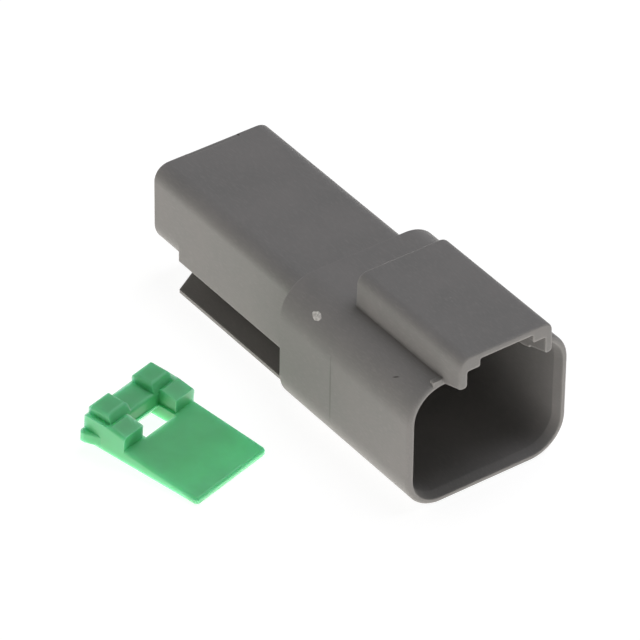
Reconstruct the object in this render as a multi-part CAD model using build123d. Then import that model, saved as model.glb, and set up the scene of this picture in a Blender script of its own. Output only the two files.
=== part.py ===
from build123d import *
import math
import os

# A two-way sealed connector receptacle: one moulded housing with an open shroud and a latch hood,
# a silicone seal round the wires, two machined pin contacts, and a wedge lock taken off beside it.
# Millimetres. X runs across, +Y from the open mouth to the wires, +Z up. The origin is the middle
# of the shroud's flat underside, on the surface that the housing stands on.

# Shroud: the open box that a plug slides into
SHROUD_WIDTH = 18.2
SHROUD_HEIGHT = 14.23
SHROUD_LENGTH = 20.4
SHROUD_CORNER = 3.9
SHROUD_WALL = 0.9
CAVITY_DEPTH = 17.6
SHOULDER_CHAMFER = 0.35
RIM_ROUND = 0.4
MOUTH_FLARE = 0.3
MOUTH_FLARE_LENGTH = 1.0

# Rear body: the narrower box that holds the contacts and the wire seal
BODY_WIDTH = 13.55
BODY_DROP = 1.71
BODY_UNDERSIDE = 3.27
BODY_LENGTH = 23.77
BODY_UPPER_CORNER = 1.65
BODY_LOWER_CORNER = 2.65
BODY_END_CHAMFER = 0.25
SKIRT_UNDERSIDE = 3.73
SKIRT_LENGTH = 19.46
SKIRT_CORNER = 0.25
RELIEF_WIDTH = 5.9
RELIEF_DEPTH = 0.15
RELIEF_LENGTH = 0.6

# Hood over the mouth, open to it from below, where a plug's latch runs
HOOD_WIDTH = 10.4
HOOD_RISE = 3.55
HOOD_LENGTH = 15.93
HOOD_OVERHANG = 2.34
HOOD_DRAFT = 0.15
HOOD_CORNER = 1.1
HOOD_FRONT_ROUND = 0.25
HOOD_REAR_ROUND = 0.35
HOOD_LEG_WALL = 0.77
HOOD_LEG_ROUND = 0.38
HOOD_REAR_WALL = 0.9
LATCH_CHANNEL_WIDTH = 6.0
LATCH_CHANNEL_ROOF = 0.71
LEDGE_ROOF = 1.58
LEDGE_ROUND = 0.2
RIM_FLAT_HALF_WIDTH = 6.45
RIM_FLAT_RISE = 0.1
RIM_FLAT_LENGTH = 0.5

# Rail under the body, a flange on a web, that a mounting clip slides onto from behind
RAIL_WIDTH = 13.86
RAIL_THICKNESS = 0.8
RAIL_EDGE_CHAMFER = 0.4
RAIL_LENGTH = 19.14
RAIL_TAPER_LENGTH = 1.8
RAIL_END_WIDTH = 7.9
WEB_WIDTH = 7.2
CORE_WIDTH = 4.4
CORE_HEIGHT = 2.4
CORE_END_WALL = 1.2

# Pin contacts, size 16
CONTACT_SPACING = 5.84
CONTACT_DROP = 5.63
PIN_RADIUS = 0.785
PIN_NOSE_LENGTH = 1.0
PIN_NOSE_TIP_RADIUS = 0.25
PIN_FREE_LENGTH = 8.6
PIN_ROOT_RADIUS = 0.95
COLLAR_RADIUS = 1.45
COLLAR_LENGTH = 0.9
NECK_RADIUS = 1.0
NECK_LENGTH = 2.4
BARREL_RADIUS = 1.35
BARREL_LENGTH = 11.6
CRIMP_BORE_RADIUS = 0.9
CRIMP_BORE_DEPTH = 6.4
INSPECTION_HOLE_RADIUS = 0.4

# Seats of the contacts in the body, with the fingers that hold them
FRONT_WALL = 1.45
PIN_HOLE_CLEARANCE = 0.08
SEAT_CLEARANCE = 0.12
COUNTERSINK = 0.3
FINGER_WIDTH = 2.4
FINGER_LENGTH = 6.6
FINGER_SLIT = 0.35
FINGER_TIP_GAP = 1.0
FINGER_LUG_LENGTH = 1.1
FINGER_LUG_WIDTH = 1.7
FINGER_LUG_CLEARANCE = 0.08

# Wire seal in its pocket at the rear end
POCKET_WALL = 1.2
POCKET_CORNER = 1.9
POCKET_DEPTH = 5.95
SEAL_RECESS = 0.7
SEAL_CLEARANCE = 0.04
SEAL_EDGE_CHAMFER = 0.25
WIRE_LIP_RADIUS = 1.15
WIRE_GROOVE_RADIUS = 1.55
WIRE_LIP_LENGTH = 0.7
WIRE_GROOVE_LENGTH = 0.95
WIRE_LIP_COUNT = 2

# Wedge lock: a flat tapered tongue, and a head with two side blocks, a bridge across its rear, a
# window between them with a narrow ledge round it, and two raised ears
TONGUE_WIDTH = 10.05
TONGUE_LENGTH = 8.91
TONGUE_TIP_THICKNESS = 0.82
TONGUE_ROOT_THICKNESS = 1.57
TONGUE_TIP_CORNER = 0.5
TONGUE_EDGE_ROUND = 0.35
HEAD_LENGTH = 4.9
HEAD_BLOCK_WIDTH = 2.66
HEAD_BLOCK_FRONT = 3.02
HEAD_BLOCK_CREST = 3.3
HEAD_BLOCK_REAR = 3.1
HEAD_BLOCK_CREST_SETBACK = 1.8
HEAD_BLOCK_ROUND = 0.4
BRIDGE_LENGTH = 2.85
BRIDGE_ROUND = 0.3
WINDOW_LEDGE = 0.25
WINDOW_LEAD = 0.2
WINDOW_UNDERCUT = 1.0
WINDOW_LOWER_ROUND = 0.3
EAR_TOP = 3.98
EAR_WIDTH = 2.76
EAR_SPACING = 6.1
EAR_LENGTH = 2.8
EAR_RAMP = 0.5
EAR_ROUND = 0.4
NUB_REACH = 0.6
NUB_UNDERSIDE = 0.35
NUB_HEIGHT = 1.3
NUB_LENGTH = 2.1
NUB_ROUND = 0.25
LUG_WIDTH = 3.4
LUG_LENGTH = 1.4
LUG_END_SETBACK = 0.5
WEDGE_SLOT_SIDE_CLEARANCE = 0.15
WEDGE_SLOT_CLEARANCE = 0.14
WEDGE_SLOT_FLOOR = 4.45
WEDGE_SLOT_SPARE_DEPTH = 0.5

# Where the wedge lock lies: its tip's middle, how far it is turned, and its tilt on its lug
WEDGE_TIP_X = -19.08
WEDGE_TIP_FROM_RIM = 13.49
WEDGE_TURN = 15.18
WEDGE_TILT = 3.45

# Heights that follow the shroud's own
ROOF_UNDERSIDE = SHROUD_HEIGHT - SHROUD_WALL
BODY_TOP = SHROUD_HEIGHT - BODY_DROP
CONTACT_HEIGHT = SHROUD_HEIGHT - CONTACT_DROP
HOOD_TOP = SHROUD_HEIGHT + HOOD_RISE

# Stations along Y that the sizes above give
RIM = -SHROUD_LENGTH / 2
SHOULDER = RIM + SHROUD_LENGTH
REAR = SHOULDER + BODY_LENGTH
HOOD_FRONT = RIM - HOOD_OVERHANG
HOOD_REAR = HOOD_FRONT + HOOD_LENGTH
CAVITY_FLOOR = RIM + CAVITY_DEPTH
SEAT_FRONT = CAVITY_FLOOR + FRONT_WALL
POCKET_FLOOR = REAR - POCKET_DEPTH
CONTACT_XS = [-CONTACT_SPACING / 2, CONTACT_SPACING / 2]
SEAT_RADIUS = COLLAR_RADIUS + SEAT_CLEARANCE
FINGER_TOP = CONTACT_HEIGHT - SEAT_RADIUS
WEDGE_REAR = TONGUE_LENGTH + HEAD_LENGTH


def outline(width, bottom, top, lower_radius, upper_radius):
    """A rectangle in X and Z, centred across, with its lower and its upper corners rounded."""
    shape = Pos(0, (bottom + top) / 2) * Rectangle(width, top - bottom)
    shape = fillet(shape.vertices().group_by(Axis.Y)[0], lower_radius)
    return fillet(shape.vertices().group_by(Axis.Y)[-1], upper_radius)


def prism(shape, start, end):
    """An outline in X and Z carried along Y from start to end."""
    plane = Plane(origin=(0, start, 0), x_dir=(1, 0, 0), z_dir=(0, -1, 0))
    return extrude(plane * shape, amount=end - start, dir=(0, 1, 0))


def block(x_low, x_high, y_low, y_high, z_low, z_high):
    """A plain box between six planes."""
    middle = Pos((x_low + x_high) / 2, (y_low + y_high) / 2, (z_low + z_high) / 2)
    return middle * Box(x_high - x_low, y_high - y_low, z_high - z_low)


def side_profile(points, width):
    """A closed outline of points in Y and Z, carried across X to both sides of the middle."""
    plane = Plane(origin=(0, 0, 0), x_dir=(0, 1, 0), z_dir=(1, 0, 0))
    return extrude(plane * make_face(Polyline(*points, close=True)), amount=width / 2, both=True)


def turned(points, x, z):
    """A solid of revolution about a line along Y: its outline is points of radius and Y."""
    plane = Plane(origin=(x, 0, z), x_dir=(1, 0, 0), z_dir=(0, 0, 1))
    axis = Axis((x, 0, z), (0, 1, 0))
    return revolve(plane * make_face(Polyline(*points, close=True)), axis=axis)


def make_shroud():
    """The open box: its shoulder is chamfered, its rim rounded over and its mouth flares all round."""
    shape = prism(outline(SHROUD_WIDTH, 0, SHROUD_HEIGHT, SHROUD_CORNER, SHROUD_CORNER), RIM, SHOULDER)
    shape = chamfer(shape.faces().sort_by(Axis.Y)[-1].edges(), SHOULDER_CHAMFER)
    shape = fillet(shape.faces().sort_by(Axis.Y)[0].edges(), RIM_ROUND)
    width = SHROUD_WIDTH - 2 * SHROUD_WALL
    corner = SHROUD_CORNER - SHROUD_WALL
    cavity = outline(width, SHROUD_WALL, ROOF_UNDERSIDE, corner, corner)
    shape -= prism(cavity, RIM - SHROUD_WALL, CAVITY_FLOOR)
    rim_face = shape.faces().sort_by(Axis.Y)[0]
    mouth = rim_face.inner_wires()[0].edges()
    return chamfer(mouth, MOUTH_FLARE, MOUTH_FLARE_LENGTH, reference=rim_face)


def make_body():
    """The rear box, its straight skirt over the rail, and the relief in its top rear edge."""
    overlap = SHOULDER - SHOULDER_CHAMFER
    round_part = prism(
        outline(BODY_WIDTH, BODY_UNDERSIDE, BODY_TOP, BODY_LOWER_CORNER, BODY_UPPER_CORNER),
        overlap,
        REAR,
    )
    round_part = chamfer(round_part.faces().sort_by(Axis.Y)[-1].edges(), BODY_END_CHAMFER)
    skirt_top = BODY_UNDERSIDE + 2 * BODY_LOWER_CORNER
    skirt = prism(
        outline(BODY_WIDTH, SKIRT_UNDERSIDE, skirt_top, SKIRT_CORNER, SKIRT_CORNER),
        overlap,
        SHOULDER + SKIRT_LENGTH,
    )
    relief = block(
        -RELIEF_WIDTH / 2,
        RELIEF_WIDTH / 2,
        REAR - RELIEF_LENGTH,
        REAR + RELIEF_LENGTH,
        BODY_TOP - RELIEF_DEPTH,
        BODY_TOP + RELIEF_DEPTH,
    )
    return round_part + skirt - relief


def make_hood():
    """The hood: it grows out of the shroud's roof on two drafted legs and stands out past the rim."""
    half_top = HOOD_WIDTH / 2
    half_foot = half_top + HOOD_DRAFT
    section = make_face(
        Polyline(
            (-half_foot, ROOF_UNDERSIDE),
            (half_foot, ROOF_UNDERSIDE),
            (half_top, HOOD_TOP),
            (-half_top, HOOD_TOP),
            close=True,
        )
    )
    section = fillet(section.vertices().group_by(Axis.Y)[-1], HOOD_CORNER)
    hood = prism(section, HOOD_FRONT, HOOD_REAR) & over_ramp()
    hood = fillet(hood.faces().sort_by(Axis.Y)[-1].edges().sort_by(Axis.Z)[1:], HOOD_REAR_ROUND)
    hood = fillet(ramp_edges(hood), HOOD_LEG_ROUND)
    hood = fillet(hood.faces().sort_by(Axis.Y)[0].edges(), HOOD_FRONT_ROUND)
    around_void = over_ramp() - make_hood_void()
    inner_edges = ramp_edges(around_void).sort_by(lambda edge: abs(edge.center().X))[:2]
    return hood & fillet(inner_edges, HOOD_LEG_ROUND)


def over_ramp():
    """All above the legs' undersides, which rise to the front in line with the mouth's flare."""
    flare_end = RIM + MOUTH_FLARE_LENGTH
    ahead = HOOD_FRONT - HOOD_OVERHANG
    rise = (flare_end - ahead) * MOUTH_FLARE / MOUTH_FLARE_LENGTH
    points = [
        (ahead, ROOF_UNDERSIDE + rise),
        (flare_end, ROOF_UNDERSIDE),
        (SHOULDER, ROOF_UNDERSIDE),
        (SHOULDER, HOOD_TOP + HOOD_RISE),
        (ahead, HOOD_TOP + HOOD_RISE),
    ]
    return side_profile(points, 2 * HOOD_WIDTH)


def ramp_edges(shape):
    """The edges of a shape that run along the legs' rising undersides."""
    low = shape.edges().filter_by(lambda edge: edge.center().Z < SHROUD_HEIGHT)
    return low.filter_by(lambda edge: edge.bounding_box().size.Z > MOUTH_FLARE)


def make_hood_void():
    """What is open under the hood: a latch channel between two ledges, down into the mouth."""
    front = HOOD_FRONT - HOOD_OVERHANG
    back = HOOD_REAR - HOOD_REAR_WALL
    floor = ROOF_UNDERSIDE - SHROUD_WALL
    half_inside = HOOD_WIDTH / 2 - HOOD_LEG_WALL
    sides = block(-half_inside, half_inside, front, back, floor, HOOD_TOP - LEDGE_ROOF)
    half_channel = LATCH_CHANNEL_WIDTH / 2
    channel = block(-half_channel, half_channel, front, back, floor, HOOD_TOP - LATCH_CHANNEL_ROOF)
    void = sides + channel
    upper_edges = void.edges().filter_by(Axis.Y).filter_by(lambda edge: edge.center().Z > SHROUD_HEIGHT)
    return fillet(upper_edges, LEDGE_ROUND)


def make_rim_flats():
    """Beside the hood's feet the rim isn't rounded over: a low flat stands at each."""
    return block(
        -RIM_FLAT_HALF_WIDTH,
        RIM_FLAT_HALF_WIDTH,
        RIM,
        RIM + RIM_FLAT_LENGTH,
        ROOF_UNDERSIDE + MOUTH_FLARE,
        SHROUD_HEIGHT + RIM_FLAT_RISE,
    )


def make_rail():
    """The T-shaped rail: a flange with tapered rear corners on a narrower web, cored from below."""
    start = SHOULDER - SHOULDER_CHAMFER
    end = SHOULDER + RAIL_LENGTH + RAIL_TAPER_LENGTH
    half = RAIL_WIDTH / 2
    half_end = RAIL_END_WIDTH / 2
    taper_start = SHOULDER + RAIL_LENGTH
    plan = Polyline(
        (-half, start),
        (half, start),
        (half, taper_start),
        (half_end, end),
        (-half_end, end),
        (-half, taper_start),
        close=True,
    )
    flange = extrude(make_face(plan), amount=RAIL_THICKNESS)
    lower_edges = flange.faces().sort_by(Axis.Z)[0].edges()
    flange = chamfer(lower_edges.sort_by(Axis.Y)[1:], RAIL_EDGE_CHAMFER)
    web_top = SKIRT_UNDERSIDE + SKIRT_CORNER
    web = block(-WEB_WIDTH / 2, WEB_WIDTH / 2, start, end, RAIL_THICKNESS / 2, web_top)
    core = block(
        -CORE_WIDTH / 2,
        CORE_WIDTH / 2,
        SHOULDER + CORE_END_WALL,
        end - CORE_END_WALL,
        -RAIL_THICKNESS,
        CORE_HEIGHT,
    )
    return flange + web - core


def make_wedge_slot():
    """The tapered slot in the cavity's floor that the wedge lock's tongue is pushed into."""
    end = CAVITY_FLOOR + TONGUE_LENGTH + WEDGE_SLOT_SPARE_DEPTH
    mouth_top = WEDGE_SLOT_FLOOR + TONGUE_ROOT_THICKNESS + WEDGE_SLOT_CLEARANCE
    end_top = WEDGE_SLOT_FLOOR + TONGUE_TIP_THICKNESS + WEDGE_SLOT_CLEARANCE
    points = [
        (CAVITY_FLOOR - SHROUD_WALL, WEDGE_SLOT_FLOOR),
        (end, WEDGE_SLOT_FLOOR),
        (end, end_top),
        (CAVITY_FLOOR, mouth_top),
        (CAVITY_FLOOR - SHROUD_WALL, mouth_top),
    ]
    return side_profile(points, TONGUE_WIDTH + 2 * WEDGE_SLOT_SIDE_CLEARANCE)


def make_seat(x):
    """All that is cut away for one contact: pin hole, countersink, seat bore and finger slits."""
    hole = PIN_ROOT_RADIUS + PIN_HOLE_CLEARANCE
    bore = turned(
        [
            (0, CAVITY_FLOOR - COUNTERSINK),
            (hole + 2 * COUNTERSINK, CAVITY_FLOOR - COUNTERSINK),
            (hole, CAVITY_FLOOR + COUNTERSINK),
            (hole, SEAT_FRONT),
            (SEAT_RADIUS, SEAT_FRONT),
            (SEAT_RADIUS, POCKET_FLOOR),
            (0, POCKET_FLOOR),
        ],
        x,
        CONTACT_HEIGHT,
    )
    slit_low = WEDGE_SLOT_FLOOR + TONGUE_TIP_THICKNESS
    finger_start = SEAT_FRONT + FINGER_TIP_GAP
    finger_end = finger_start + FINGER_LENGTH
    half_inner = FINGER_WIDTH / 2
    half_outer = half_inner + FINGER_SLIT
    around = block(x - half_outer, x + half_outer, SEAT_FRONT, finger_end, slit_low, CONTACT_HEIGHT)
    finger = block(x - half_inner, x + half_inner, finger_start, finger_end, slit_low, FINGER_TOP)
    lug_top = CONTACT_HEIGHT - NECK_RADIUS - FINGER_LUG_CLEARANCE
    lug = block(
        x - FINGER_LUG_WIDTH / 2,
        x + FINGER_LUG_WIDTH / 2,
        finger_start,
        finger_start + FINGER_LUG_LENGTH,
        slit_low,
        lug_top,
    )
    return bore + around - finger - lug


def make_pocket():
    """The room for the wire seal, open at the rear end."""
    return prism(pocket_outline(0), POCKET_FLOOR, REAR + SEAL_RECESS)


def pocket_outline(gap):
    """The pocket's section, taken in all round by a gap."""
    return outline(
        BODY_WIDTH - 2 * POCKET_WALL - 2 * gap,
        BODY_UNDERSIDE + POCKET_WALL + gap,
        BODY_TOP - POCKET_WALL - gap,
        POCKET_CORNER - gap,
        POCKET_CORNER - gap,
    )


def make_housing():
    """The one-piece moulded housing."""
    housing = make_shroud() + make_body() + make_rim_flats() + make_hood() + make_rail()
    housing -= make_hood_void()
    housing -= make_wedge_slot()
    for x in CONTACT_XS:
        housing -= make_seat(x)
    return housing - make_pocket()


def make_contact(x):
    """One machined pin contact: pin, collar, neck, and a barrel bored for the wire's strands."""
    collar_start = SEAT_FRONT
    neck_start = collar_start + COLLAR_LENGTH
    barrel_start = neck_start + NECK_LENGTH
    barrel_end = barrel_start + BARREL_LENGTH
    nose_end = CAVITY_FLOOR - PIN_FREE_LENGTH + PIN_NOSE_LENGTH
    bore_floor = barrel_end - CRIMP_BORE_DEPTH
    body = turned(
        [
            (0, CAVITY_FLOOR - PIN_FREE_LENGTH),
            (PIN_NOSE_TIP_RADIUS, CAVITY_FLOOR - PIN_FREE_LENGTH),
            (PIN_RADIUS, nose_end),
            (PIN_RADIUS, CAVITY_FLOOR),
            (PIN_ROOT_RADIUS, CAVITY_FLOOR),
            (PIN_ROOT_RADIUS, collar_start),
            (COLLAR_RADIUS, collar_start),
            (COLLAR_RADIUS, neck_start),
            (NECK_RADIUS, neck_start),
            (NECK_RADIUS, barrel_start),
            (BARREL_RADIUS, barrel_start),
            (BARREL_RADIUS, barrel_end),
            (CRIMP_BORE_RADIUS, barrel_end),
            (CRIMP_BORE_RADIUS, bore_floor),
            (0, bore_floor - CRIMP_BORE_RADIUS / 2),
        ],
        x,
        CONTACT_HEIGHT,
    )
    look_in = Pos(x, bore_floor + 2 * INSPECTION_HOLE_RADIUS, CONTACT_HEIGHT + BARREL_RADIUS)
    return body - look_in * Cylinder(INSPECTION_HOLE_RADIUS, 2 * BARREL_RADIUS)


def make_seal():
    """The wire seal: a rounded block with a lipped hole for each wire."""
    start = POCKET_FLOOR
    end = REAR - SEAL_RECESS
    seal = prism(pocket_outline(SEAL_CLEARANCE), start, end)
    seal = chamfer(seal.faces().sort_by(Axis.Y)[-1].edges(), SEAL_EDGE_CHAMFER)
    lipped = WIRE_LIP_COUNT * WIRE_LIP_LENGTH + (WIRE_LIP_COUNT - 1) * WIRE_GROOVE_LENGTH
    entry = (end - start - lipped) / 2
    slope = WIRE_GROOVE_LENGTH / 4
    for x in CONTACT_XS:
        points = [(0, start), (WIRE_GROOVE_RADIUS, start)]
        station = start + entry
        for lip in range(WIRE_LIP_COUNT):
            points.append((WIRE_LIP_RADIUS, station))
            station += WIRE_LIP_LENGTH
            points.append((WIRE_LIP_RADIUS, station))
            if lip < WIRE_LIP_COUNT - 1:
                points.append((WIRE_GROOVE_RADIUS, station + slope))
                station += WIRE_GROOVE_LENGTH
                points.append((WIRE_GROOVE_RADIUS, station - slope))
        points += [(WIRE_GROOVE_RADIUS, end), (0, end)]
        seal -= turned(points, x, CONTACT_HEIGHT)
    return seal


def make_tongue():
    """The flat tongue, thinner towards its tip at Y = 0, with rounded edges."""
    points = [
        (0, 0),
        (TONGUE_LENGTH, 0),
        (TONGUE_LENGTH, TONGUE_ROOT_THICKNESS),
        (0, TONGUE_TIP_THICKNESS),
    ]
    tongue = side_profile(points, TONGUE_WIDTH)
    tip_corners = tongue.edges().filter_by(Axis.Z).group_by(Axis.Y)[0]
    tongue = fillet(tip_corners, TONGUE_TIP_CORNER)
    bottom = tongue.faces().sort_by(Axis.Z)[0]
    top = tongue.faces().sort_by(Axis.Z)[-1]
    outer_edges = bottom.edges().sort_by(Axis.Y)[:-1] + top.edges().sort_by(Axis.Y)[:-1]
    return fillet(outer_edges, TONGUE_EDGE_ROUND)


def make_head_block():
    """One side block of the head, at the +X side, its top ramped to a crest ahead of the ear."""
    crest = TONGUE_LENGTH + HEAD_BLOCK_CREST_SETBACK
    points = [
        (TONGUE_LENGTH, 0),
        (WEDGE_REAR, 0),
        (WEDGE_REAR, HEAD_BLOCK_REAR),
        (crest + EAR_RAMP, HEAD_BLOCK_REAR),
        (crest, HEAD_BLOCK_CREST),
        (TONGUE_LENGTH, HEAD_BLOCK_FRONT),
    ]
    shape = side_profile(points, HEAD_BLOCK_WIDTH)
    outer_edges = shape.edges().group_by(Axis.X)[-1]
    ramp_edge = outer_edges.filter_by(lambda edge: edge.center().Z > HEAD_BLOCK_FRONT).sort_by(Axis.Y)[0]
    shape = fillet(ramp_edge, HEAD_BLOCK_ROUND)
    lower_edge = shape.edges().group_by(Axis.X)[-1].sort_by(Axis.Z)[0]
    shape = fillet(lower_edge, TONGUE_EDGE_ROUND)
    return Pos((TONGUE_WIDTH - HEAD_BLOCK_WIDTH) / 2, 0, 0) * shape


def make_ear():
    """One raised ear, over the place of one contact, with a ramp to the front."""
    front = WEDGE_REAR - EAR_LENGTH
    points = [
        (front, HEAD_BLOCK_REAR / 2),
        (WEDGE_REAR, HEAD_BLOCK_REAR / 2),
        (WEDGE_REAR, EAR_TOP),
        (front + EAR_RAMP, EAR_TOP),
        (front, HEAD_BLOCK_REAR),
    ]
    shape = side_profile(points, EAR_WIDTH)
    shape = fillet(shape.faces().sort_by(Axis.Z)[-1].edges(), EAR_ROUND)
    return Pos(EAR_SPACING / 2, 0, 0) * shape


def make_nub():
    """The small snap nub low on the head's side, growing outwards to the rear."""
    front = WEDGE_REAR - NUB_LENGTH
    edge = TONGUE_WIDTH / 2
    plan = Polyline(
        (edge - NUB_REACH, front),
        (edge, front),
        (edge + NUB_REACH, WEDGE_REAR - NUB_REACH),
        (edge + NUB_REACH, WEDGE_REAR),
        (edge - NUB_REACH, WEDGE_REAR),
        close=True,
    )
    nub = Pos(0, 0, NUB_UNDERSIDE) * extrude(make_face(plan), amount=NUB_HEIGHT)
    outer_edges = nub.edges().filter_by(lambda edge_line: edge_line.center().X > edge)
    return fillet(outer_edges, NUB_ROUND)


def make_bridge():
    """The floor between the head's side blocks, and the bridge that stands on its rear."""
    half = TONGUE_WIDTH / 2 - HEAD_BLOCK_WIDTH
    front = WEDGE_REAR - BRIDGE_LENGTH
    floor = block(-half, half, TONGUE_LENGTH, WEDGE_REAR, 0, TONGUE_ROOT_THICKNESS)
    bridge = block(-half, half, front, WEDGE_REAR, TONGUE_ROOT_THICKNESS, HEAD_BLOCK_REAR)
    front_edge = bridge.edges().filter_by(Axis.X).group_by(Axis.Y)[0].sort_by(Axis.Z)[-1]
    return floor + fillet(front_edge, BRIDGE_ROUND)


def make_window():
    """What the window takes out of the head's floor: its rear wall slopes back downwards."""
    front = TONGUE_LENGTH - WINDOW_LEAD
    rear = WEDGE_REAR - BRIDGE_LENGTH - WINDOW_LEDGE
    points = [
        (front, -TONGUE_ROOT_THICKNESS),
        (front, TONGUE_ROOT_THICKNESS),
        (rear, TONGUE_ROOT_THICKNESS),
        (rear + WINDOW_UNDERCUT, 0),
        (rear + WINDOW_UNDERCUT, -TONGUE_ROOT_THICKNESS),
    ]
    return side_profile(points, TONGUE_WIDTH - 2 * HEAD_BLOCK_WIDTH - 2 * WINDOW_LEDGE)


def make_lug(drop):
    """The lug under the head's rear, as deep as the drop to the surface that the wedge lies on."""
    end = WEDGE_REAR - LUG_END_SETBACK
    points = [(end - LUG_LENGTH, 0), (end, -drop), (WEDGE_REAR, -drop / 2), (WEDGE_REAR, 0)]
    return side_profile(points, LUG_WIDTH)


def make_wedge():
    """The wedge lock as it lies beside the housing, on its tip and on the lug under its head.

    It is tilted about its tip's lower edge, and sinks by what that edge's round takes away.
    """
    tilt = math.radians(WEDGE_TILT)
    sink = TONGUE_EDGE_ROUND * (math.cos(tilt) + math.sin(tilt) - 1)
    lug_end = WEDGE_REAR - LUG_END_SETBACK
    side_block = make_head_block()
    wedge = make_tongue() + make_bridge() + side_block + mirror(side_block, about=Plane.YZ) - make_window()
    window_lower_loop = wedge.faces().sort_by(Axis.Z)[0].inner_wires()[0]
    wedge = fillet(window_lower_loop.edges(), WINDOW_LOWER_ROUND)
    wedge += make_lug((lug_end * math.sin(tilt) - sink) / math.cos(tilt))
    for half in (make_ear(), make_nub()):
        wedge += half
        wedge += mirror(half, about=Plane.YZ)
    place = Location((WEDGE_TIP_X, RIM + WEDGE_TIP_FROM_RIM, -sink))
    return place * Rot(0, 0, WEDGE_TURN) * Rot(WEDGE_TILT, 0, 0) * wedge


os.makedirs("parts", exist_ok=True)
export_step(make_housing(), "parts/housing.step")
export_step(make_seal(), "parts/wire_seal.step")
export_step(make_wedge(), "parts/wedge_lock.step")
for name, x in zip(("pin_contact_left", "pin_contact_right"), CONTACT_XS):
    export_step(make_contact(x), "parts/" + name + ".step")
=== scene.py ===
import math

import bpy
import numpy as np
from mathutils import Matrix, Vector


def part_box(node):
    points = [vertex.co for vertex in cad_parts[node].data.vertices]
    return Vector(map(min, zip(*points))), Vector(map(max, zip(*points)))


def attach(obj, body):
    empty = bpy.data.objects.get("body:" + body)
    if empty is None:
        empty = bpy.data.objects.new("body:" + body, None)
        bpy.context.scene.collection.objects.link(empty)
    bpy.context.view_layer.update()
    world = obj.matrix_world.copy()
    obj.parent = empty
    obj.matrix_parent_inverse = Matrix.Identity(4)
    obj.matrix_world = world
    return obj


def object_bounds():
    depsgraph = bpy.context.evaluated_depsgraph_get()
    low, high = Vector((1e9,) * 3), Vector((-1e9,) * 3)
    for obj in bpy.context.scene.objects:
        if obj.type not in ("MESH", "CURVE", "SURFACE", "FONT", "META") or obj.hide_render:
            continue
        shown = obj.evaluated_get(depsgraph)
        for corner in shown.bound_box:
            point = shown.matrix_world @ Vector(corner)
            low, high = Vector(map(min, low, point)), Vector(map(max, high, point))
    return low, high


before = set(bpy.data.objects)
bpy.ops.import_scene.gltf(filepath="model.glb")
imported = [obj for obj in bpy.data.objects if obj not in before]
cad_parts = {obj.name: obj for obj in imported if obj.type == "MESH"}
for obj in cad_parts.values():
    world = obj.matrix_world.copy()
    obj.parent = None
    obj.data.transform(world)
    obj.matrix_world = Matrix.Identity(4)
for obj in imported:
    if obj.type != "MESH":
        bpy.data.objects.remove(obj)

cad_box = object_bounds()

# Housing. One injection moulding of glass-filled grey thermoplastic: shroud, latch hood, rear body
# and clip rail. Its tool was spark-eroded, so the faces have a fine matte grain. A witness line of
# the tool and a few knocks show as small marks.
MM = 0.001
HOUSING_GREY = "#7d7c7b"
HOUSING_GREY_PALE = "#858382"
HOUSING_FLOW_MM = 7.0
HOUSING_FIBRE_PALE = "#8c8a88"
HOUSING_FIBRE_MM = (0.13, 0.7, 0.13)
HOUSING_FIBRE_SPREAD = (0.5, 0.8)
HOUSING_FIBRE_SHARE = 0.7
# The paler outer edges are a painted highlight. These set its colour, its depth into the plastic, its
# spread and how strongly it covers.
HOUSING_EDGE_HIGHLIGHT_PALE = "#a09e9b"
HOUSING_EDGE_MM = 0.2
HOUSING_EDGE_SAMPLES = 6
HOUSING_EDGE_HIGHLIGHT_MM = 0.3
HOUSING_EDGE_HIGHLIGHT_SPREAD = (0.9, 0.55)
HOUSING_EDGE_HIGHLIGHT_SHARE = 0.6
HOUSING_GRAIN_MM = 0.09
HOUSING_GRAIN_UNEVEN = 0.6
HOUSING_GRAIN_STRENGTH = 0.3
HOUSING_ROUGHNESS = (0.56, 0.68)
HOUSING_OPTICS = {"IOR": 1.5, "Specular IOR Level": 0.12}
PATCH_SPREAD = (0.35, 0.65)
PATCH_UNEVEN = 0.55
GRAIN_DEPTH_MM = 0.012
MARK_SOFTNESS = 0.55

# Each mark's start, end and width in mm, its colour, and how strongly it covers the plastic: the
# witness line on the shroud's left side, a scratch near the hood, and two pale dots on the hood.
HOUSING_MARKS = (
    ((-9.1, 1.88, 2.4), (-9.1, 1.88, 11.8), 0.32, "#6c6b69", 0.9),
    ((-7.98, -6.10, 13.07), (-7.66, -6.72, 13.36), 0.15, "#3f3d3b", 1.0),
    ((-0.32, -4.4, 17.78), (-0.32, -4.5, 17.78), 0.22, HOUSING_FIBRE_PALE, 0.9),
    ((-0.53, -4.9, 17.78), (-0.53, -5.0, 17.78), 0.2, HOUSING_FIBRE_PALE, 0.9),
)


def linear(hex_colour):
    """An sRGB hex colour as linear RGBA."""
    values = [int(hex_colour[i:i + 2], 16) / 255 for i in (1, 3, 5)]
    return [v / 12.92 if v <= 0.04045 else ((v + 0.055) / 1.055) ** 2.4 for v in values] + [1.0]


def add_node(tree, kind, settings=None, inputs=None, links=None):
    """Adds a node, sets its properties and socket values, and links other nodes' sockets into it."""
    new = tree.nodes.new(kind)
    for name, value in (settings or {}).items():
        setattr(new, name, value)
    for name, value in (inputs or {}).items():
        new.inputs[name].default_value = value
    for name, socket in (links or {}).items():
        tree.links.new(socket, new.inputs[name])
    return new


def new_material(name):
    """An empty node material and its tree."""
    material = bpy.data.materials.new(name)
    material.use_nodes = True
    material.node_tree.nodes.clear()
    return material, material.node_tree


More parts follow.
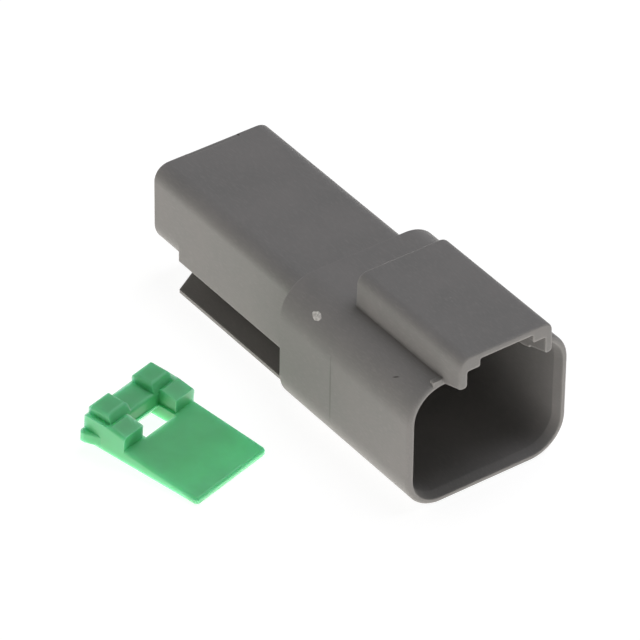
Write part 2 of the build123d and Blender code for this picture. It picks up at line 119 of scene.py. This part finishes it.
def mottled(tree, place, size_mm, colours, detail=2.0):
    """A colour that drifts between two, in soft patches of a real size, and the drift itself."""
    patches = add_node(
        tree,
        "ShaderNodeTexNoise",
        inputs={"Scale": 1 / (size_mm * MM), "Detail": detail, "Roughness": PATCH_UNEVEN},
        links={"Vector": place},
    )
    drift = add_node(
        tree,
        "ShaderNodeMapRange",
        inputs={"From Min": PATCH_SPREAD[0], "From Max": PATCH_SPREAD[1]},
        links={"Value": patches.outputs["Fac"]},
    )
    blend = add_node(
        tree,
        "ShaderNodeMix",
        {"data_type": "RGBA"},
        inputs={6: linear(colours[0]), 7: linear(colours[1])},
        links={0: drift.outputs[0]},
    )
    return blend.outputs[2], drift.outputs[0]


def mark_share(tree, place, start, end, width, most):
    """A share that rises to the most inside a soft-edged streak between two points, and is 0 beside it.

    The streak is the inside of a long ball. The place is carried into the ball's own axes, where
    the ball has a radius of 1, so the distance from its middle gives the share.
    """
    run = np.subtract(end, start)
    length = np.linalg.norm(run)
    ascent = math.asin(run[2] / length)
    turn = math.atan2(-run[0], run[1])
    ball = add_node(
        tree,
        "ShaderNodeMapping",
        {"vector_type": "TEXTURE"},
        inputs={
            "Location": np.add(start, end) / 2 * MM,
            "Rotation": (ascent, 0.0, turn),
            "Scale": (width / 2 * MM, (length + width) / 2 * MM, width / 2 * MM),
        },
        links={"Vector": place},
    )
    distance = add_node(tree, "ShaderNodeVectorMath", {"operation": "LENGTH"}, links={0: ball.outputs[0]})
    share = add_node(
        tree,
        "ShaderNodeMapRange",
        inputs={"From Min": 1.0, "From Max": 1.0 - MARK_SOFTNESS, "To Max": most},
        links={"Value": distance.outputs["Value"]},
    )
    return share.outputs[0]


def fibre_share(tree, place):
    """More than 0 on short streaks along the housing, where glass fibres lie at the surface.

    The streaks are drawn coarser than single fibres, which would be too fine to show.
    """
    along = add_node(
        tree,
        "ShaderNodeMapping",
        {"vector_type": "TEXTURE"},
        inputs={"Scale": [size * MM for size in HOUSING_FIBRE_MM]},
        links={"Vector": place},
    )
    streaks = add_node(
        tree,
        "ShaderNodeTexNoise",
        inputs={"Scale": 1.0, "Detail": 2.0},
        links={"Vector": along.outputs[0]},
    )
    low, high = HOUSING_FIBRE_SPREAD
    share = add_node(
        tree,
        "ShaderNodeMapRange",
        inputs={"From Min": low, "From Max": high, "To Max": HOUSING_FIBRE_SHARE},
        links={"Value": streaks.outputs["Fac"]},
    )
    return share.outputs[0]


def edge_highlight_share(tree):
    """More than 0 at outer edges, where short rays into the plastic meet its other side. It lays a
    painted highlight along them.
    """
    depth = add_node(
        tree,
        "ShaderNodeAmbientOcclusion",
        {"inside": True, "only_local": True, "samples": HOUSING_EDGE_SAMPLES},
        inputs={"Distance": HOUSING_EDGE_HIGHLIGHT_MM * MM},
    )
    whole, thin = HOUSING_EDGE_HIGHLIGHT_SPREAD
    share = add_node(
        tree,
        "ShaderNodeMapRange",
        inputs={"From Min": whole, "From Max": thin, "To Max": HOUSING_EDGE_HIGHLIGHT_SHARE},
        links={"Value": depth.outputs["AO"]},
    )
    return share.outputs[0]


def grained(tree, place, size_mm, strength, uneven=0.5, under=None):
    """The normal of a surface with a fine grain of a real size, over another normal if one is given."""
    grain = add_node(
        tree,
        "ShaderNodeTexNoise",
        inputs={"Scale": 1 / (size_mm * MM), "Detail": 2.0, "Roughness": uneven},
        links={"Vector": place},
    )
    links = {"Height": grain.outputs["Fac"]}
    if under is not None:
        links["Normal"] = under
    bump = add_node(
        tree,
        "ShaderNodeBump",
        inputs={"Strength": strength, "Distance": GRAIN_DEPTH_MM * MM},
        links=links,
    )
    return bump.outputs["Normal"]


def skin(tree, colour, normal, roughness, drift, optics):
    """The finished surface, whose roughness drifts between two. Its optics are the same all over."""
    rough = add_node(
        tree,
        "ShaderNodeMapRange",
        inputs={"To Min": roughness[0], "To Max": roughness[1]},
        links={"Value": drift},
    )
    shader = add_node(
        tree,
        "ShaderNodeBsdfPrincipled",
        inputs=optics,
        links={"Base Color": colour, "Roughness": rough.outputs[0], "Normal": normal},
    )
    add_node(tree, "ShaderNodeOutputMaterial", links={"Surface": shader.outputs[0]})


def grey_moulded_plastic():
    """Glass-filled thermoplastic from a spark-eroded tool.

    To the eye it is matte and finely grained, with faint cloudy patches where it flowed and short
    pale streaks along its length where glass fibres lie at the surface. Its outer edges are a little
    rounder, and a painted highlight makes them paler. Fibres, painted edge highlights and marks are
    laid over the grey in that order.
    """
    material, tree = new_material("grey_glass_filled_thermoplastic")
    place = add_node(tree, "ShaderNodeTexCoord").outputs["Object"]
    greys = (HOUSING_GREY, HOUSING_GREY_PALE)
    colour, flow = mottled(tree, place, HOUSING_FLOW_MM, greys, detail=4.0)
    # The second layer paints a highlight along the outer edges.
    layers = [(HOUSING_FIBRE_PALE, fibre_share(tree, place)), (HOUSING_EDGE_HIGHLIGHT_PALE, edge_highlight_share(tree))]
    for start, end, width, mark_colour, most in HOUSING_MARKS:
        layers.append((mark_colour, mark_share(tree, place, start, end, width, most)))
    for layer_colour, share in layers:
        covered = add_node(
            tree,
            "ShaderNodeMix",
            {"data_type": "RGBA"},
            inputs={7: linear(layer_colour)},
            links={0: share, 6: colour},
        )
        colour = covered.outputs[2]
    rounded = add_node(
        tree,
        "ShaderNodeBevel",
        {"samples": HOUSING_EDGE_SAMPLES},
        inputs={"Radius": HOUSING_EDGE_MM * MM},
    )
    normal = grained(
        tree,
        place,
        HOUSING_GRAIN_MM,
        HOUSING_GRAIN_STRENGTH,
        HOUSING_GRAIN_UNEVEN,
        rounded.outputs[0],
    )
    skin(tree, colour, normal, HOUSING_ROUGHNESS, flow, HOUSING_OPTICS)
    return material


def dress(node, material):
    """Gives a CAD node one material on all its slots."""
    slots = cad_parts[node].data.materials
    slots.clear()
    slots.append(material)


dress("housing", grey_moulded_plastic())

# Gate mark. A small round scar on the shroud's upper corner, where the gate that fed the mould was
# broken off. The torn plastic is paler than the skin round it. Its place on the corner is an angle
# in degrees from straight up, and its tail spreads over an angle in radians of the turn round it.
GATE_MIDDLE_Y_MM = 5.38
GATE_ANGLE = 48.3
GATE_RADIUS_MM = 0.56
GATE_SQUEEZE = 0.84
GATE_TAIL = 0.5
GATE_TAIL_ANGLE = 0.45
GATE_WIDE_WAVES = 0.05
GATE_SHORT_WAVES = 0.03
GATE_RISE_MM = 0.05
GATE_SINK_MM = 0.12
GATE_HOLLOW_MM = 0.03
GATE_RINGS = 28
GATE_STEPS = 72
SHROUD_CORNER_MM = 3.9
SHROUD_TOP_MM = 14.23
TORN_PALE = "#dedcd9"
TORN_GREY = "#aeaca9"
TORN_PATCH_MM = 0.28
TORN_BUMP_STRENGTH = 0.6
TORN_OPTICS = {"Roughness": 0.7, "IOR": 1.5}


def laid_on_corner(across, along, above):
    """Points in mm of a flat plan laid on the shroud's upper left corner, a quarter of a round bar.

    The distance across becomes an angle about the bar's axis, the distance along stays along it,
    and the height is added to the bar's radius.
    """
    shroud_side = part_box("housing")[0][0] / MM
    angle = math.radians(GATE_ANGLE) + across / SHROUD_CORNER_MM
    reach = SHROUD_CORNER_MM + above
    x = shroud_side + SHROUD_CORNER_MM - reach * np.sin(angle)
    z = SHROUD_TOP_MM - SHROUD_CORNER_MM + reach * np.cos(angle)
    return np.stack([x, GATE_MIDDLE_Y_MM + along, z], axis=-1)


def make_gate_mark():
    """A closed low scar: a profile of radius and height swept through a full turn.

    With s from 0 at the top's middle to 1 at the underside's, the radius is R sin(pi s) and the
    height falls as a cosine from the rise to the sink. The top is hollowed towards its middle.
    Three wide and seven short waves round it make its edge uneven, a bell curve of the turn draws
    out a tail to the rear, and it is squeezed a little across.
    """
    s = np.linspace(0, 1, GATE_RINGS + 2)[1:-1, None]
    turn = np.linspace(0, math.tau, GATE_STEPS, endpoint=False)[None, :]
    waves = GATE_WIDE_WAVES * np.sin(3 * turn) + GATE_SHORT_WAVES * np.cos(7 * turn)
    tail = GATE_TAIL * np.exp(-(((turn - math.pi / 2) / GATE_TAIL_ANGLE) ** 2))
    radius = GATE_RADIUS_MM * np.sin(math.pi * s) * (1 + waves + tail)
    fall = (1 - np.cos(math.pi * s)) / 2
    hollow = GATE_HOLLOW_MM * np.exp(-((radius / (GATE_RADIUS_MM / 2)) ** 2)) * (s < 0.5)
    height = GATE_RISE_MM - (GATE_RISE_MM + GATE_SINK_MM) * fall - hollow
    across = GATE_SQUEEZE * radius * np.cos(turn)
    rings = laid_on_corner(across, radius * np.sin(turn), height).reshape(-1, 3)
    pole_heights = np.array([GATE_RISE_MM - GATE_HOLLOW_MM, -GATE_SINK_MM])
    poles = laid_on_corner(np.zeros(2), np.zeros(2), pole_heights)
    index = np.arange(GATE_RINGS * GATE_STEPS).reshape(GATE_RINGS, GATE_STEPS)
    following = np.roll(index, -1, axis=1)
    quads = np.stack([index[:-1], index[1:], following[1:], following[:-1]], axis=-1).reshape(-1, 4)
    top = np.full(GATE_STEPS, len(rings))
    cap_above = np.stack([top, index[0], following[0]], axis=-1)
    cap_below = np.stack([top + 1, following[-1], index[-1]], axis=-1)
    faces = quads.tolist() + cap_above.tolist() + cap_below.tolist()
    mesh = bpy.data.meshes.new("gate_mark")
    mesh.from_pydata((np.concatenate([rings, poles]) * MM).tolist(), [], faces)
    mesh.shade_smooth()
    piece = bpy.data.objects.new("gate_mark", mesh)
    bpy.context.scene.collection.objects.link(piece)
    return piece


def torn_plastic():
    """Glass-filled thermoplastic where it was torn: paler, duller and rougher than its skin."""
    material, tree = new_material("torn_glass_filled_thermoplastic")
    place = add_node(tree, "ShaderNodeTexCoord").outputs["Object"]
    colour, tear = mottled(tree, place, TORN_PATCH_MM, (TORN_GREY, TORN_PALE), detail=3.0)
    bump = add_node(
        tree,
        "ShaderNodeBump",
        inputs={"Strength": TORN_BUMP_STRENGTH, "Distance": GATE_HOLLOW_MM * MM},
        links={"Height": tear},
    )
    shader = add_node(
        tree,
        "ShaderNodeBsdfPrincipled",
        inputs=TORN_OPTICS,
        links={"Base Color": colour, "Normal": bump.outputs["Normal"]},
    )
    add_node(tree, "ShaderNodeOutputMaterial", links={"Surface": shader.outputs[0]})
    return material


gate_mark = make_gate_mark()
gate_mark.data.materials.append(torn_plastic())
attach(gate_mark, "root")

# Wedge lock. A small injection moulding in green thermoplastic without glass. Its tool was
# polished, so it is glossier than the housing, and light goes a little way into it.
WEDGE_GREEN = "#57bb7e"
WEDGE_GREEN_DEEP = "#51b376"
WEDGE_FLOW_MM = 3.5
WEDGE_GRAIN_MM = 0.16
WEDGE_GRAIN_STRENGTH = 0.12
WEDGE_ROUGHNESS = (0.36, 0.46)
WEDGE_LIGHT_DEPTH_MM = (0.2, 0.2, 0.24)

# The shader takes a radius of 4 pi times the depth that light travels between two turns.
RADIUS_PER_DEPTH = 4 * math.pi
WEDGE_OPTICS = {
    "IOR": 1.49,
    "Subsurface Weight": 0.85,
    "Subsurface Radius": WEDGE_LIGHT_DEPTH_MM,
    "Subsurface Scale": RADIUS_PER_DEPTH * MM,
}


def green_moulded_plastic():
    """Unfilled thermoplastic from a polished tool.

    To the eye it is satin, and its thin edges and inner corners glow a paler green.
    """
    material, tree = new_material("green_thermoplastic")
    place = add_node(tree, "ShaderNodeTexCoord").outputs["Object"]
    greens = (WEDGE_GREEN_DEEP, WEDGE_GREEN)
    colour, flow = mottled(tree, place, WEDGE_FLOW_MM, greens, detail=3.0)
    normal = grained(tree, place, WEDGE_GRAIN_MM, WEDGE_GRAIN_STRENGTH)
    skin(tree, colour, normal, WEDGE_ROUGHNESS, flow, WEDGE_OPTICS)
    return material


dress("wedge_lock", green_moulded_plastic())

# Wire seal. One block of orange-red silicone rubber, moulded with lips in its two holes, and
# pushed into the housing's rear end.
SEAL_ORANGE = "#c4552d"
SEAL_DUSTY = "#c9683f"
SEAL_DUST_MM = 0.9
SEAL_GRAIN_MM = 0.12
SEAL_GRAIN_STRENGTH = 0.25
SEAL_ROUGHNESS = (0.52, 0.7)
SEAL_OPTICS = {"IOR": 1.41}


def silicone_rubber():
    """Moulded silicone: dull, a little dusty in soft patches, with a very fine skin."""
    material, tree = new_material("orange_silicone_rubber")
    place = add_node(tree, "ShaderNodeTexCoord").outputs["Object"]
    colour, dust = mottled(tree, place, SEAL_DUST_MM, (SEAL_ORANGE, SEAL_DUSTY), detail=4.0)
    normal = grained(tree, place, SEAL_GRAIN_MM, SEAL_GRAIN_STRENGTH)
    skin(tree, colour, normal, SEAL_ROUGHNESS, dust, SEAL_OPTICS)
    return material


dress("wire_seal", silicone_rubber())

# Pin contacts. Each is turned from copper alloy bar and nickel plated, and is held in the housing
# by a finger behind its collar.
NICKEL = "#c8c3b8"
NICKEL_WARM = "#c4bba9"
NICKEL_TINT_MM = 2.0
TURNING_PITCH_MM = 0.12
TURNING_DEPTH_MM = 0.004
TURNING_WANDER = 0.4
TURNING_STRENGTH = 0.3
NICKEL_ROUGHNESS = (0.24, 0.36)
NICKEL_OPTICS = {"Metallic": 1.0}

# A band texture of scale 1 has 20 waves in each 2 pi of length.
WAVES_PER_UNIT = 20 / math.tau


def nickel_plate():
    """Nickel on a turned surface: satin metal with fine rings left by the cutting tool.

    The rings are drawn coarser than real ones, which would be too fine to show.
    """
    material, tree = new_material("nickel_plated_copper_alloy")
    place = add_node(tree, "ShaderNodeTexCoord").outputs["Object"]
    colour, tint = mottled(tree, place, NICKEL_TINT_MM, (NICKEL_WARM, NICKEL))
    ring_scale = 1 / (TURNING_PITCH_MM * MM * WAVES_PER_UNIT)
    rings = add_node(
        tree,
        "ShaderNodeTexWave",
        {"wave_type": "BANDS", "bands_direction": "Y"},
        inputs={"Scale": ring_scale, "Distortion": TURNING_WANDER},
        links={"Vector": place},
    )
    bump = add_node(
        tree,
        "ShaderNodeBump",
        inputs={"Strength": TURNING_STRENGTH, "Distance": TURNING_DEPTH_MM * MM},
        links={"Height": rings.outputs["Fac"]},
    )
    skin(tree, colour, bump.outputs["Normal"], NICKEL_ROUGHNESS, tint, NICKEL_OPTICS)
    return material


contact_finish = nickel_plate()
for contact in ("pin_contact_left", "pin_contact_right"):
    dress(contact, contact_finish)

# Floor. A wide sheet of white paper, its size in metres. Where it is seen directly a share of it is
# plain white, as in an overexposed studio shot. The rest is its own shading, so that it keeps a
# soft shadow, and the plain white is above 1 to make up for what the shading lacks.
FLOOR_HALF_SIZE = 2.0
FLOOR_WHITE = "#f4f4f4"
FLOOR_PLAIN_SHARE = 0.72
FLOOR_PLAIN_LEVEL = 1.24


def seen_directly(tree):
    """A socket that is 1 on camera, glossy and transmission rays and 0 on others."""
    path = add_node(tree, "ShaderNodeLightPath")
    either = add_node(
        tree,
        "ShaderNodeMath",
        {"operation": "MAXIMUM"},
        links={0: path.outputs["Is Camera Ray"], 1: path.outputs["Is Glossy Ray"]},
    )
    return add_node(
        tree,
        "ShaderNodeMath",
        {"operation": "MAXIMUM"},
        links={0: either.outputs[0], 1: path.outputs["Is Transmission Ray"]},
    ).outputs[0]


def white_paper():
    """Smooth white paper: evenly matte, and plain white where the camera or a reflection sees it."""
    material, tree = new_material("white_paper")
    shaded = add_node(tree, "ShaderNodeBsdfDiffuse", inputs={"Color": linear(FLOOR_WHITE)})
    plain = add_node(tree, "ShaderNodeEmission", inputs={"Strength": FLOOR_PLAIN_LEVEL})
    share = add_node(
        tree,
        "ShaderNodeMath",
        {"operation": "MULTIPLY"},
        inputs={1: FLOOR_PLAIN_SHARE},
        links={0: seen_directly(tree)},
    )
    both = add_node(
        tree,
        "ShaderNodeMixShader",
        links={0: share.outputs[0], 1: shaded.outputs[0], 2: plain.outputs[0]},
    )
    add_node(tree, "ShaderNodeOutputMaterial", links={"Surface": both.outputs[0]})
    return material


def make_floor():
    """A square in the plane Z = 0, centred on the origin."""
    far = FLOOR_HALF_SIZE
    corners = [(-far, -far, 0.0), (far, -far, 0.0), (far, far, 0.0), (-far, far, 0.0)]
    mesh = bpy.data.meshes.new("floor")
    mesh.from_pydata(corners, [], [(0, 1, 2, 3)])
    mesh.materials.append(white_paper())
    sheet = bpy.data.objects.new("floor", mesh)
    bpy.context.scene.collection.objects.link(sheet)
    return sheet


floor = make_floor()

# Light. A pale room, a light table under the object that shines warm white up its sides, a large
# softbox high on the right, and a weak one on the left that reaches in under the body. Every level
# is a radiance, where 1 is white. Sizes and distances are in metres, and angles in degrees.
WORLD_LEVEL = 0.17
WORLD_SEEN = 1.0
TABLE_SIZE = 0.4
TABLE_LEVEL = 1.5
TABLE_WARM_WHITE = "#fffbf4"
SOFTBOX_DISTANCE = 0.9
SOFTBOX_SIZE = 0.6
KEY_AZIMUTH = 85.0
KEY_ELEVATION = 70.0
KEY_LEVEL = 3.3
KEY_COOL_WHITE = "#f9faff"
FILL_AZIMUTH = -120.0
FILL_ELEVATION = 40.0
FILL_LEVEL = 0.85
FILL_WARM_WHITE = "#fff6e8"

# The table's light starts just above the paper, which would block it from below.
TABLE_HEIGHT = 0.000005


def make_world():
    """A uniform pale room, plain white where the camera or a reflection sees it."""
    world = bpy.data.worlds.new("room")
    bpy.context.scene.world = world
    world.use_nodes = True
    tree = world.node_tree
    tree.nodes.clear()
    level = add_node(
        tree,
        "ShaderNodeMapRange",
        inputs={"To Min": WORLD_LEVEL, "To Max": WORLD_SEEN},
        links={"Value": seen_directly(tree)},
    )
    background = add_node(tree, "ShaderNodeBackground", links={"Strength": level.outputs[0]})
    add_node(tree, "ShaderNodeOutputWorld", links={"Surface": background.outputs[0]})


def facing(back, place, roll=0.0):
    """The matrix of a camera or lamp at a place, whose back points along a unit vector.

    Its right side is level, and then it is turned about its own axis by the roll in radians.
    """
    along_z = np.allclose(np.abs(back), (0, 0, 1))
    right = np.cross((0, 1, 0) if along_z else (0, 0, 1), back)
    right /= np.linalg.norm(right)
    up = np.cross(back, right)
    c, s = math.cos(roll), math.sin(roll)
    right, up = c * right + s * up, c * up - s * right
    matrix = np.eye(4)
    matrix[:3, 0], matrix[:3, 1], matrix[:3, 2], matrix[:3, 3] = right, up, back, place
    return Matrix(matrix.tolist())


def direction(azimuth, elevation):
    """The unit vector from the object towards an azimuth and an elevation in degrees."""
    a, e = math.radians(azimuth), math.radians(elevation)
    return np.array([math.sin(a) * math.cos(e), -math.cos(a) * math.cos(e), math.sin(e)])


def make_panel(name, back, place, size, radiance, colour):
    """A square area lamp at a place, whose back points along a unit vector.

    Its power is its radiance times pi times its area.
    """
    lamp = bpy.data.lights.new(name, "AREA")
    lamp.shape = "SQUARE"
    lamp.size = size
    lamp.energy = radiance * math.pi * size ** 2
    lamp.color = linear(colour)[:3]
    panel = bpy.data.objects.new(name, lamp)
    panel.matrix_world = facing(back, place)
    panel.visible_camera = False
    bpy.context.scene.collection.objects.link(panel)


def make_softbox(name, azimuth, elevation, radiance, colour):
    """A panel that stands off in a direction and shines at the object."""
    back = direction(azimuth, elevation)
    make_panel(name, back, back * SOFTBOX_DISTANCE, SOFTBOX_SIZE, radiance, colour)


make_world()
under_object = np.mean(cad_box, axis=0) * (1, 1, 0) + (0, 0, TABLE_HEIGHT)
downwards = np.array([0.0, 0.0, -1.0])
make_panel("light_table", downwards, under_object, TABLE_SIZE, TABLE_LEVEL, TABLE_WARM_WHITE)
make_softbox("key_softbox", KEY_AZIMUTH, KEY_ELEVATION, KEY_LEVEL, KEY_COOL_WHITE)
make_softbox("fill_softbox", FILL_AZIMUTH, FILL_ELEVATION, FILL_LEVEL, FILL_WARM_WHITE)

# Camera. It stands where the photograph was taken from: at the front left, well above, and far
# enough away for a long lens. Its angles are in degrees.
CAMERA_AZIMUTH = -36.253
CAMERA_ELEVATION = 37.133
CAMERA_ROLL = 0.769
CAMERA_DISTANCE_MM = 565.91
CAMERA_AIM_MM = (-2.734, 12.277, 5.884)
CAMERA_LENS_MM = 339.84
SENSOR_MM = 36.0
NEAREST_SEEN_MM = 10.0


def make_camera():
    """A long-lens camera that looks at the aim point, rolled a little about its own axis."""
    back = direction(CAMERA_AZIMUTH, CAMERA_ELEVATION)
    data = bpy.data.cameras.new("camera")
    data.lens = CAMERA_LENS_MM
    data.sensor_width = SENSOR_MM
    data.clip_start = NEAREST_SEEN_MM * MM
    camera = bpy.data.objects.new("camera", data)
    place = (np.array(CAMERA_AIM_MM) + back * CAMERA_DISTANCE_MM) * MM
    camera.matrix_world = facing(back, place, math.radians(CAMERA_ROLL))
    bpy.context.scene.collection.objects.link(camera)
    bpy.context.scene.camera = camera


make_camera()
bpy.context.scene.view_settings.view_transform = "Standard"
